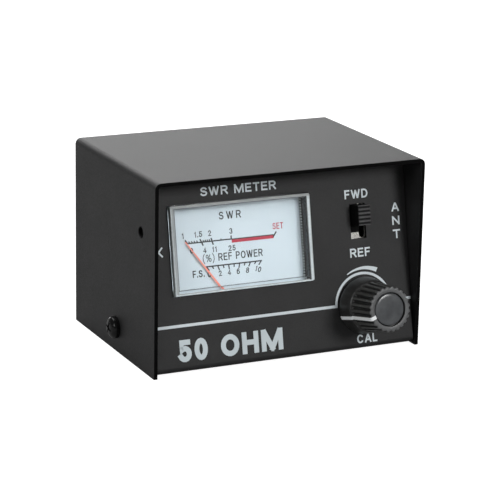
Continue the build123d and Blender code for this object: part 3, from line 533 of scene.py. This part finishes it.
# Dark and light colour, lowest and highest roughness, grain and bump depth in mm, and for one the blotches.
GRAINED_ROWS = {
    "case_paint": ((0.008, 0.008, 0.0085), (0.0125, 0.0125, 0.013), 0.46, 0.62, 0.2, 0.045),
    "panel_paint": ((0.009, 0.009, 0.0095), (0.0135, 0.0135, 0.014), 0.52, 0.68, 0.2, 0.045),
    "black_screw": ((0.003, 0.003, 0.003), (0.006, 0.006, 0.006), 0.14, 0.24, 0.3, 0.004),
    "black_plastic": ((0.012, 0.012, 0.013), (0.02, 0.02, 0.02), 0.35, 0.5, 0.3, 0.006),
    "dial_card": ((0.575, 0.64, 0.68), (0.62, 0.685, 0.725), 0.5, 0.62, 0.12, 0.003),
    "magnet": ((0.05, 0.05, 0.052), (0.09, 0.09, 0.092), 0.45, 0.6, 0.2, 0.01),
    "phenolic": ((0.17, 0.075, 0.03), (0.24, 0.11, 0.045), 0.4, 0.55, 0.2, 0.004),
    "circuit_board": ((0.02, 0.1, 0.045), (0.03, 0.13, 0.06), 0.3, 0.45, 0.25, 0.003),
    "socket_insulator": ((0.72, 0.68, 0.58), (0.8, 0.76, 0.67), 0.3, 0.42, 0.3, 0.004),
    "diode_glass": ((0.55, 0.16, 0.05), (0.68, 0.24, 0.08), 0.1, 0.2, 0.4, 0.002),
    "resistor_body": ((0.55, 0.42, 0.25), (0.64, 0.5, 0.32), 0.3, 0.4, 0.3, 0.004),
    "capacitor_body": ((0.6, 0.3, 0.07), (0.7, 0.37, 0.1), 0.4, 0.55, 0.3, 0.01),
    "wire_cover": ((0.45, 0.03, 0.025), (0.55, 0.045, 0.035), 0.35, 0.45, 0.4, 0.003),
    "needle_paint": ((0.84, 0.23, 0.17), (0.92, 0.29, 0.22), 0.4, 0.55, 0.15, 0.002),
    "black_gloss_plastic": ((0.016, 0.016, 0.0165), (0.022, 0.022, 0.0225), 0.26, 0.38, 0.3, 0.006),
    "knob_plastic": ((0.020, 0.020, 0.0195), (0.030, 0.030, 0.029), 0.3, 0.42, 0.3, 0.006),
    # The next two rows are a painted shade for the knob's grooves and a painted highlight for its ridges.
    "knob_groove_shade": ((0.010, 0.010, 0.0095), (0.015, 0.015, 0.0145), 0.35, 0.5, 0.3, 0.006),
    "knob_ridge_highlight": ((0.042, 0.042, 0.040), (0.068, 0.068, 0.065), 0.28, 0.42, 0.3, 0.01),
    "knob_front": ((0.078, 0.080, 0.082), (0.112, 0.115, 0.117), 0.34, 0.5, 0.25, 0.012),
    "knob_cap_grey": ((0.042, 0.045, 0.049), (0.092, 0.097, 0.102), 0.2, 0.26, 3.0, 0.004, 4.0),
    "white_mark": ((0.86, 0.89, 0.9), (0.93, 0.95, 0.95), 0.45, 0.6, 0.2, 0.004),
    "legend_ink": ((0.65, 0.715, 0.745), (0.72, 0.785, 0.815), 0.5, 0.65, 0.1, 0.004),
    "number_ink": ((0.58, 0.655, 0.685), (0.65, 0.725, 0.755), 0.5, 0.65, 0.1, 0.004),
    "scale_black": ((0.012, 0.012, 0.014), (0.02, 0.02, 0.022), 0.5, 0.65, 0.1, 0.002),
    "scale_red": ((0.39, 0.008, 0.03), (0.46, 0.014, 0.042), 0.45, 0.6, 0.1, 0.002),
    # The next three rows are painted light and painted shade for the window's clear walls; the grey one also
    # colours the tray's ribs.
    "edge_painted_light": ((0.50, 0.54, 0.55), (0.62, 0.67, 0.68), 0.2, 0.35, 0.6, 0.003),
    "edge_grey": ((0.33, 0.35, 0.35), (0.42, 0.445, 0.45), 0.4, 0.55, 0.6, 0.003),
    "edge_painted_shade": ((0.10, 0.105, 0.11), (0.15, 0.158, 0.165), 0.55, 0.7, 0.6, 0.001),
}
# Dark and light colour, lowest and highest roughness.
METAL_ROWS = {
    "tinned_brass": ((0.58, 0.57, 0.53), (0.7, 0.69, 0.65), 0.25, 0.4),
    "plated_steel": ((0.5, 0.5, 0.5), (0.62, 0.62, 0.62), 0.25, 0.4),
    "brass": ((0.62, 0.46, 0.2), (0.74, 0.57, 0.28), 0.2, 0.35),
    "nickel_steel": ((0.66, 0.65, 0.61), (0.76, 0.75, 0.72), 0.22, 0.36),
    "nickel_plate": ((0.66, 0.65, 0.61), (0.78, 0.77, 0.73), 0.14, 0.28),
    "contact_plate": ((0.7, 0.6, 0.38), (0.8, 0.7, 0.48), 0.16, 0.3),
    "plated_screw": ((0.55, 0.55, 0.55), (0.68, 0.68, 0.67), 0.2, 0.35),
    "copper": ((0.62, 0.26, 0.13), (0.75, 0.34, 0.19), 0.25, 0.4),
    "aluminium": ((0.68, 0.68, 0.69), (0.78, 0.78, 0.79), 0.25, 0.4),
    "frame_steel": ((0.48, 0.475, 0.44), (0.58, 0.57, 0.54), 0.22, 0.36),
}


def make_materials():
    """All materials by name: the record's slots, and looks that stand in for a slot's on some faces."""
    made = {name: grained(name, *row) for name, row in GRAINED_ROWS.items()}
    made.update({name: turned_metal(name, *row) for name, row in METAL_ROWS.items()})
    made["clear_plastic"] = clear_plastic()
    # Painted shade on the cover's cut edges, on the panel's slot walls and on the switch frame's side faces.
    paint_edge_shade(made["case_paint"], 0.15)
    paint_edge_shade(made["panel_paint"], 0.15, "X")
    paint_edge_shade(made["frame_steel"], 0.04, "X")
    # Painted shade on the switch lever's grip near the panel and a painted highlight on its front.
    paint_lever_shade_and_highlight(made["black_gloss_plastic"], LEVER_DEEP, LEVER_FACE)
    shader_of(made["black_screw"]).inputs["Specular IOR Level"].default_value = SCREW_SHINE
    return made


MATERIALS = make_materials()


# ---------------------------------------------------------------- CAD nodes
def soften(node, width_mm):
    """Small rounded edges on a CAD node, by modifiers alone."""
    piece = frame["nodes"][node]
    weld = piece.modifiers.new("weld", "WELD")
    weld.merge_threshold = 1e-6
    flat = piece.modifiers.new("flat", "DECIMATE")
    flat.decimate_type = "DISSOLVE"
    flat.angle_limit = radians(0.6)
    bevel = piece.modifiers.new("bevel", "BEVEL")
    bevel.width = width_mm * MM
    bevel.segments = 2
    bevel.limit_method = "ANGLE"
    bevel.angle_limit = radians(ROUND_OVER)
    bevel.harden_normals = True
    normals = piece.modifiers.new("normals", "WEIGHTED_NORMAL")
    normals.keep_sharp = True


def dress_nodes():
    """Every CAD node gets its slot's material."""
    for row in frame["record"]["subparts"]:
        mesh = frame["nodes"][row["node"]].data
        mesh.materials.clear()
        mesh.materials.append(MATERIALS[row["material_slot"]])
    frame["nodes"]["switch_frame"].data.materials[0] = MATERIALS["frame_steel"]


dress_nodes()
for node, width in EDGE_ROUNDS.items():
    soften(node, width)


# ---------------------------------------------------------------- turned pieces
def smooth_step(value, start, end):
    """0 at the start, 1 at the end, eased between."""
    share = min(max((value - start) / (end - start), 0.0), 1.0)
    return share * share * (3 - 2 * share)


def plain_radius(_row, radius, _height, _angle):
    """The radius of a smooth turned row."""
    return radius


def turned_row(bm, row, radius, height, sectors, radius_at):
    """Corners of one row of a turned solid."""
    corners = []
    for i in range(sectors):
        angle = 2 * pi * i / sectors
        here = radius_at(row, radius, height, angle)
        corners.append(bm.verts.new((here * cos(angle), here * sin(angle), height)))
    return corners


def lathe(bm, profile, sectors, radius_at=plain_radius):
    """Closed solid of revolution about z from (radius, height) points that start and end on the axis."""
    rows = []
    for row, (radius, height) in enumerate(profile):
        if radius == 0:
            rows.append([bm.verts.new((0, 0, height))])
        else:
            rows.append(turned_row(bm, row, radius, height, sectors, radius_at))
    for below, above in zip(rows, rows[1:]):
        for i in range(sectors):
            j = (i + 1) % sectors
            corners = [below[i % len(below)], below[j % len(below)]]
            corners += [above[j % len(above)], above[i % len(above)]]
            unique = list(dict.fromkeys(corners))
            if len(unique) > 2:
                bm.faces.new(unique)


def tube(bm, profile, sectors, radius_at):
    """Closed ring-shaped solid of revolution about z from (radius, height) points of its section."""
    rings = []
    for row, (radius, height) in enumerate(profile):
        rings.append(turned_row(bm, row, radius, height, sectors, radius_at))
    for below, above in zip(rings, rings[1:] + rings[:1]):
        for i in range(sectors):
            j = (i + 1) % sectors
            bm.faces.new((below[i], below[j], above[j], above[i]))


def fluted_knob():
    """Knob body with soft scalloped flutes, in place of the plain CAD one."""
    bm = bmesh.new()
    outside = [
        (7.2, 0.6), (7.36, 0.68), (7.4, 0.84), (7.38, 1.1), (7.27, 1.9), (7.14, 2.8), (6.98, 3.7),
        (6.82, 4.5), (6.7, 5.0), (6.6, 5.2), (6.5, 5.3),
    ]
    for i in range(GRIP_STEPS + 1):
        share = (i / GRIP_STEPS) ** 1.4
        outside.append(tuple(low + (high - low) * share for low, high in zip(GRIP_LOW, GRIP_HIGH)))
    front = [
        (5.77, 14.05), (5.69, 14.15), (5.56, 14.2), (5.0, 14.2), (4.52, 14.2), (4.43, 14.17), (4.4, 14.1),
    ]
    inside = [(0, 11.8), (3.0, 11.8), (3.0, 4.0), (6.2, 4.0), (6.2, 0.6)]
    profile = inside + outside + front + [(4.4, 13.2), (0, 13.2)]
    start = len(inside)
    pitch = (360 - 2 * FLUTE_START) / (FLUTES - 1)

    def off_flute(angle):
        """Degrees from the middle of the nearest flute."""
        turn = degrees(angle) % 360
        index = min(max(round((turn - FLUTE_START) / pitch), 0), FLUTES - 1)
        return abs(turn - FLUTE_START - index * pitch)

    def radius_at(row, radius, height, angle):
        off = off_flute(angle) / FLUTE_HALF
        if row < start or radius < FLUTE_LEAST_R or height < FLUTE_FOOT or off >= 1:
            return radius
        deep = FLUTE_DEEP * (1 - off * off) ** 0.5
        thinner = 1 - FLUTE_FADE_SHARE * smooth_step(height, *FLUTE_FADE)
        deep *= smooth_step(height, *FLUTE_RISE) * thinner
        return radius - deep

    lathe(bm, profile, KNOB_SECTORS, radius_at)
    turn = Matrix.Rotation(radians(KNOB_POINTER), 4, "Z")
    place = PANEL @ Matrix.Translation((KNOB_AT.x, KNOB_AT.y, 0)) @ turn
    # Painted shade in the flutes' grooves and a painted highlight on the ridges beside them.
    looks = ("knob_plastic", "knob_front", "knob_groove_shade", "knob_ridge_highlight")
    for face in bm.faces:
        middle = face.calc_center_median()
        off = off_flute(atan2(middle.y, middle.x))
        if middle.z > FRONT_FROM:
            face.material_index = looks.index("knob_front")
        elif middle.z > GRIP_FROM and middle.xy.length > CAP_SEAT_R:
            if off < FLUTE_HALF * SHADED_GROOVE_SHARE:
                face.material_index = looks.index("knob_groove_shade")
            elif off < LIT_RIDGE_HALF:
                face.material_index = looks.index("knob_ridge_highlight")
    look = MATERIALS["knob_plastic"]
    piece = new_piece("knob_fluted", bm, "knob", look, place, smooth_angle=35)
    for name in looks[1:]:
        piece.data.materials.append(MATERIALS[name])
    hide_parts("knob_body")


fluted_knob()


def domed_cap():
    """Knob's cap with a rounded rim and a slightly domed face."""
    bm = bmesh.new()
    top = CAP_TOP
    profile = [(0, top - 0.8), (4.1, top - 0.8), (4.15, top - 0.7), (4.15, top - 0.42), (4.11, top - 0.24),
               (4.02, top - 0.12), (3.86, top - 0.05), (CAP_FLAT_R, top)]
    for i in range(1, CAP_STEPS):
        radius = CAP_FLAT_R * (1 - i / CAP_STEPS)
        profile.append((radius, top + CAP_DOME * (1 - (radius / CAP_FLAT_R) ** 2)))
    profile.append((0, top + CAP_DOME))
    lathe(bm, profile, SECTORS)
    place = PANEL @ Matrix.Translation((KNOB_AT.x, KNOB_AT.y, 0))
    look = MATERIALS["knob_cap_grey"]
    piece = new_piece("knob_cap_domed", bm, "knob", look, place, smooth_angle=50)
    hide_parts("knob_cap")


domed_cap()


def threaded_sockets():
    """The CAD flanges with threaded barrels in place of their plain ones."""
    source = frame["nodes"]["socket_shells"].data
    bm = bmesh.new()
    bm.from_mesh(source)
    seat = min(v.co.y for v in bm.verts) + SOCKET_FLANGE_T * MM
    cut = {"plane_co": (0, seat + 0.02 * MM, 0), "plane_no": (0, 1, 0), "clear_outer": True}
    bmesh.ops.bisect_plane(bm, geom=bm.verts[:] + bm.edges[:] + bm.faces[:], **cut)
    look = MATERIALS["nickel_plate"]
    flanges = new_piece("socket_flanges", bm, "case", look, smooth_angle=30)
    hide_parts("socket_shells")
    for mount in ("socket_left", "socket_right"):
        middle = Vector(MOUNTS[mount]["pos_m"])
        barrel = bmesh.new()
        foot = [(BARREL_BORE, -0.5), (7.45, -0.5), (7.45, 0.4)]
        thread = []
        for i in range(THREAD_STEPS + 1):
            thread.append((BARREL_R, THREAD_START + (BARREL_L - 0.9) * i / THREAD_STEPS))
        mouth = [(7.3, BARREL_L - 0.1), (7.15, BARREL_L), (6.45, BARREL_L), (BARREL_BORE, BARREL_L - 0.15)]
        first = len(foot)
        last = first + THREAD_STEPS

        def radius_at(row, radius, height, angle):
            if row < first or row > last:
                return radius
            phase = (height / THREAD_PITCH - angle / (2 * pi)) % 1.0
            valley = min(abs(phase - 0.5) * THREAD_SLOPE, 1.0)
            ends = smooth_step(height, THREAD_START, 1.2)
            ends *= 1 - smooth_step(height, BARREL_L - 1.2, BARREL_L - 0.5)
            lead_in = MOUTH_LEAD_IN * smooth_step(height, BARREL_L - 1.0, BARREL_L - 0.4)
            return radius - (1 - valley) * THREAD_DEEP * ends - lead_in

        tube(barrel, foot + thread + mouth, SECTORS, radius_at)
        place = Matrix.Translation((middle.x, seat, middle.z)) @ Matrix.Rotation(-pi / 2, 4, "X")
        place = place @ Matrix.Diagonal((MM, MM, MM, 1))
        name = "barrel_" + mount.split("_")[1]
        new_piece(name, barrel, "case", look, place, smooth_angle=50)


threaded_sockets()


# ---------------------------------------------------------------- panel print
def panel_legends():
    """White legends, the rule, the ring round the control and the wedge over it."""
    bm = bmesh.new()
    # words, lower left corner, height, width
    for words, low_left, height, width in (
        ("SWR METER", (-21.5, 44.2), 2.25, 20.9),
        ("FWD", (18.7, 39.8), 2.3, 6.7),
        ("REF", (19.3, 24.65), 2.3, 5.8),
        ("CAL", (19.8, 2.25), 2.3, 5.9),
        ("A", (32.15, 35.4), 2.3, 2.15),
        ("N", (32.15, 31.9), 2.3, 2.15),
        ("T", (32.15, 28.4), 2.3, 2.15),
        ("X", (-35.0, 30.1), 2.5, 2.3),
    ):
        add_words(bm, words, low_left, height, width, THIN_STROKE)
    ring = Vector((RING_U, RING_V))
    left = panel_box("chassis")[0].x + RULE_INSET
    add_bar(bm, left, RULE_V, ring.x - RULE_GAPS[0], RULE_V, RULE_WIDE, 0, INK)
    add_bar(bm, ring.x + RULE_GAPS[1], RULE_V, RULE_END, RULE_V, RULE_WIDE, 0, INK)
    add_arc(bm, ring, RING_INNER, RING_OUTER, 180, 0, 0, INK, 72)
    add_arc(bm, ring, WEDGE_INNER, WEDGE_OUTER, *WEDGE_ENDS, 0, INK, 32)
    new_piece("panel_legends", bm, "case", MATERIALS["legend_ink"], PANEL)
    large = bmesh.new()
    add_words(large, "50 OHM", (-30.4, 3.4), 5.6, 29.0, 1.34, gap=0.13)
    new_piece("panel_number", large, "case", MATERIALS["number_ink"], PANEL)


# ---------------------------------------------------------------- dial print
def fan(u, v, length_down, length_up=0.0):
    """Ends of a tick through (u, v) that points at the needle's pivot."""
    here = Vector((u, v))
    away = (here - Vector((PIVOT_AT.x, PIVOT_AT.y))).normalized()
    return here - away * length_down, here + away * length_up


def dial_prints():
    """Black and red printing on the dial."""
    level = panel_box("meter_dial")[1].z
    ink = level + DIAL_INK
    black = bmesh.new()
    red = bmesh.new()

    def label(words, centre, height, width=None, bm=black, stroke=0.25, gap=LETTER_GAP, turn=0.0):
        if width is None:
            cells = sum(GLYPHS[letter][0] for letter in words)
            width = height * (cells + gap * (len(words) - 1))
        low_left = (-width / 2, -height / 2)
        add_words(bm, words, low_left, height, width, stroke, level, ink, gap, (centre, turn))

    def tick(u, v, down, up, width=0.3):
        low, high = fan(u, v, down, up)
        add_bar(black, low.x, low.y, high.x, high.y, width, level, ink + LAYER)

    label("SWR", (-12.9, 38.75), 1.95, 6.1, stroke=0.3, gap=0.42)
    label("(%)", (-19.5, 28.4), 1.9, 3.2, stroke=0.19)
    label("REF POWER", (-10.66, 28.4), 1.9, 12.32, stroke=0.28)
    label("F.S.", (-22.55, 24.75), 1.8, 3.2, stroke=0.29)
    # upper scale: black line and ticks, then the red band
    line = 32.6
    add_bar(black, -25.1, line, -12.9, line, 0.33, level, ink)
    tick(-24.95, line, 0.1, 1.15, 0.36)
    for u in (-24.3, -23.6, -22.9, -22.2):
        tick(u, line, 0.0, 0.6)
    tick(-21.15, line, 1.0, 0.9, 0.36)
    for u in (-20.5, -19.95, -19.4, -18.85):
        tick(u, line, 0.0, 0.55)
    tick(-18.25, line, 1.0, 0.85, 0.36)
    tick(-15.75, line, 0.0, 0.4)
    tick(-12.95, line, 0.15, 0.9, 0.36)
    for words, u in (("1", -26.1), ("1.5", -21.9), ("2", -18.8), ("3", -12.9)):
        label(words, (u, 34.65), 1.45)
    for words, u, v in (("0", -24.0, 30.75), ("4", -20.4, 30.5), ("11", -17.7, 30.5), ("25", -12.9, 30.35)):
        label(words, (u, v), 1.45)
    add_bar(red, -12.85, 32.1, -1.1, 32.1, 0.9, level, ink)
    add_bar(black, -12.85, 32.56, -1.1, 32.56, 0.27, level, level + 1.5 * DIAL_INK)
    tick(-1.1, 32.2, 0.3, 1.35, 0.36)
    label("SET", (0.25, 34.7), 1.6, 3.0, red, 0.23)
    # lower scale: eleven ticks, every other one longer
    line = 26.3
    add_bar(black, -20.5, line, -4.8, line, 0.34, level, ink)
    for step in range(11):
        u = -20.2 + step * 1.52
        low = fan(u, line, 0.8 if step % 2 else 1.25)[0]
        add_bar(black, u, line, low.x, low.y, 0.32, level, ink + LAYER)
    for words, u, turn in (
        ("0", -19.65, 8), ("2", -16.6, 4), ("4", -14.1, 0),
        ("6", -11.6, -3), ("8", -9.0, -12), ("10", -6.0, -22),
    ):
        label(words, (u, 24.3), 1.45, turn=turn)
    new_piece("dial_print_black", black, "case", MATERIALS["scale_black"], PANEL)
    new_piece("dial_print_red", red, "case", MATERIALS["scale_red"], PANEL)


def tray_ribs():
    """Fine moulded ribs down the right wall of the tray, beside the dial."""
    low, high = panel_box("meter_dial")
    wall = high.x + RIB_GAP
    bm = bmesh.new()
    for i in range(int((high.y - low.y) / RIB_PITCH)):
        v = low.y + (i + 0.5) * RIB_PITCH
        sides = ((wall - RIB_OUT, v), (wall, v), (wall, v + RIB_WIDE), (wall - RIB_OUT, v + RIB_WIDE))
        add_prism(bm, sides, high.z + RIB_FOOT, high.z + RIB_LONG)
    new_piece("tray_ribs", bm, "case", MATERIALS["edge_grey"], PANEL)


# ---------------------------------------------------------------- window's edge
def lens_edges():
    """Painted light and painted shade round the window's front and on its top and left walls: pale, grey and dark
    strips for the light and dark seen in its clear edges.
    """
    low, high = panel_box("meter_lens")
    u0, u1 = low.x + LENS_SIDE, high.x - LENS_SIDE
    v0, v1 = LENS_V
    top = high.z - STRIP_UNDER
    pale, grey, dark = bmesh.new(), bmesh.new(), bmesh.new()
    # strips inside the front: left, bottom, right, top
    for bm, a, b, c, d in (
        (grey, u0 + 0.42, v0 + 0.5, u0 + 0.95, v1 - 0.62),
        (pale, u0 + 0.6, v0 + 0.1, u1 - 0.5, v0 + 0.4),
        (pale, u1 - 0.92, v0 + 0.2, u1 - 0.3, v1 - 0.3),
        (grey, u0 + 0.6, v0 + 0.42, u1 - 1.5, v0 + 0.62),
        (grey, u1 - 0.3, v0 + 0.3, u1 - 0.1, v1 - 0.3),
        (dark, u0 + 0.95, v0 + 1.22, u0 + 1.1, v1 - 0.8),
        (dark, u0 + 0.95, v1 - 0.8, u1 - 1.3, v1 - 0.64),
        (dark, u0 + 1.1, v0 + 1.25, u1 - 1.5, v0 + 1.37),
        (dark, u1 - 1.15, v0 + 0.5, u1 - 0.97, v1 - 0.64),
    ):
        add_prism(bm, [(a, b), (c, b), (c, d), (a, d)], top - STRIP_T, top)
    skin = high.z + SKIN_OVER
    # skins on the outside: left, bottom, right, top, foot
    for bm, a, b, c, d, foot in (
        (dark, u0 + 0.1, v1, u1 - 0.1, v1 + 0.02, 0.05),
        (pale, u0 - 0.02, v0 + 0.05, u0, v1 - 0.02, 0.05),
        (pale, u0, v0 + 0.05, u0 + 0.4, v1 - 0.62, high.z + SKIN_FOOT),
        (grey, u0, v1 - 0.6, u1 - 0.3, v1 + 0.02, high.z + SKIN_FOOT),
    ):
        add_prism(bm, [(a, b), (c, b), (c, d), (a, d)], foot, skin)
    new_piece("window_edge_painted_light", pale, "case", MATERIALS["edge_painted_light"], PANEL)
    new_piece("window_edge_grey_painted_light", grey, "case", MATERIALS["edge_grey"], PANEL)
    new_piece("window_edge_painted_shade", dark, "case", MATERIALS["edge_painted_shade"], PANEL)


def rear_legends():
    """White names of the two sockets, on the rear panel."""
    bm = bmesh.new()
    for mount, words, width in (("socket_left", "ANT", 7.2), ("socket_right", "TX", 4.4)):
        x = -Vector(MOUNTS[mount]["pos_m"]).x / MM
        add_words(bm, words, (x - width / 2, REAR_WORDS_Z), 2.6, width, 0.46)
    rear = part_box("chassis")[1].y
    turn = Matrix(((-1, 0, 0, 0), (0, 0, 1, 0), (0, 1, 0, 0), (0, 0, 0, 1)))
    place = Matrix.Translation((0, rear, 0)) @ turn @ Matrix.Diagonal((MM, MM, MM, 1))
    new_piece("rear_legends", bm, "case", MATERIALS["legend_ink"], place)


panel_legends()
rear_legends()
dial_prints()
tray_ribs()
lens_edges()


# ---------------------------------------------------------------- studio
def add_camera():
    """Camera at the product view, placed from the middle of the cover's front edge."""
    azimuth, elevation, roll = (radians(a) for a in (CAMERA_AZIMUTH, CAMERA_ELEVATION, CAMERA_ROLL))
    back = Vector((sin(azimuth) * cos(elevation), -cos(azimuth) * cos(elevation), sin(elevation)))
    level = Vector((cos(azimuth), sin(azimuth), 0))
    upright = back.cross(level)
    right = level * cos(roll) + upright * sin(roll)
    up = upright * cos(roll) - level * sin(roll)
    data = bpy.data.cameras.new("camera")
    data.lens = CAMERA_LENS
    data.sensor_width = 36.0
    data.clip_start = 0.01
    data.clip_end = 20.0
    camera = bpy.data.objects.new("camera", data)
    bpy.context.scene.collection.objects.link(camera)
    place = (right * CAMERA_RIGHT + up * CAMERA_UP + back * CAMERA_BACK) * MM
    place += Vector((0, COVER_LOW.y, 0))
    turn = Matrix((right, up, back)).transposed().to_4x4()
    camera.matrix_world = Matrix.Translation(place) @ turn
    bpy.context.scene.camera = camera


def add_floor():
    """Plain pale floor."""
    bm = bmesh.new()
    half = FLOOR_HALF
    corners = [(-half, -half), (half, -half), (half, half), (-half, half)]
    bm.faces.new([bm.verts.new((x, y, 0)) for x, y in corners])
    mesh = bpy.data.meshes.new("floor")
    bm.to_mesh(mesh)
    bm.free()
    paper = new_material("floor", (FLOOR_GREY, FLOOR_GREY, FLOOR_GREY), 0.9)
    shader_of(paper).inputs["Emission Color"].default_value = (1, 1, 1, 1)
    path = paper.node_tree.nodes.new("ShaderNodeLightPath")
    feed(paper, spread(paper, path.outputs["Is Camera Ray"], 0, 1, 0, FLOOR_GLOW), "Emission Strength")
    mesh.materials.append(paper)
    floor = bpy.data.objects.new("floor", mesh)
    bpy.context.scene.collection.objects.link(floor)


def add_lamp(name, place, target, size, power):
    """Square soft box aimed at a point."""
    data = bpy.data.lights.new(name, "AREA")
    data.shape = "SQUARE"
    data.size = size
    data.energy = power
    lamp = bpy.data.objects.new(name, data)
    bpy.context.scene.collection.objects.link(lamp)
    lamp.location = place
    lamp.rotation_mode = "QUATERNION"
    lamp.rotation_quaternion = (Vector(target) - Vector(place)).to_track_quat("-Z", "Y")


def add_world():
    """White surroundings, dimmer for lighting than they look."""
    world = bpy.data.worlds.new("studio")
    bpy.context.scene.world = world
    world.use_nodes = True
    nodes = world.node_tree.nodes
    links = world.node_tree.links
    background = nodes["Background"]
    background.inputs["Color"].default_value = (1, 1, 1, 1)
    path = nodes.new("ShaderNodeLightPath")
    strength = nodes.new("ShaderNodeMapRange")
    strength.inputs["To Min"].default_value = WORLD_LIGHT
    strength.inputs["To Max"].default_value = WORLD_SEEN
    links.new(path.outputs["Is Camera Ray"], strength.inputs["Value"])
    links.new(strength.outputs["Result"], background.inputs["Strength"])


add_camera()
add_floor()
add_world()
for lamp_name, lamp_row in LAMPS.items():
    add_lamp(lamp_name, *lamp_row)
bpy.context.scene.view_settings.view_transform = "Standard"
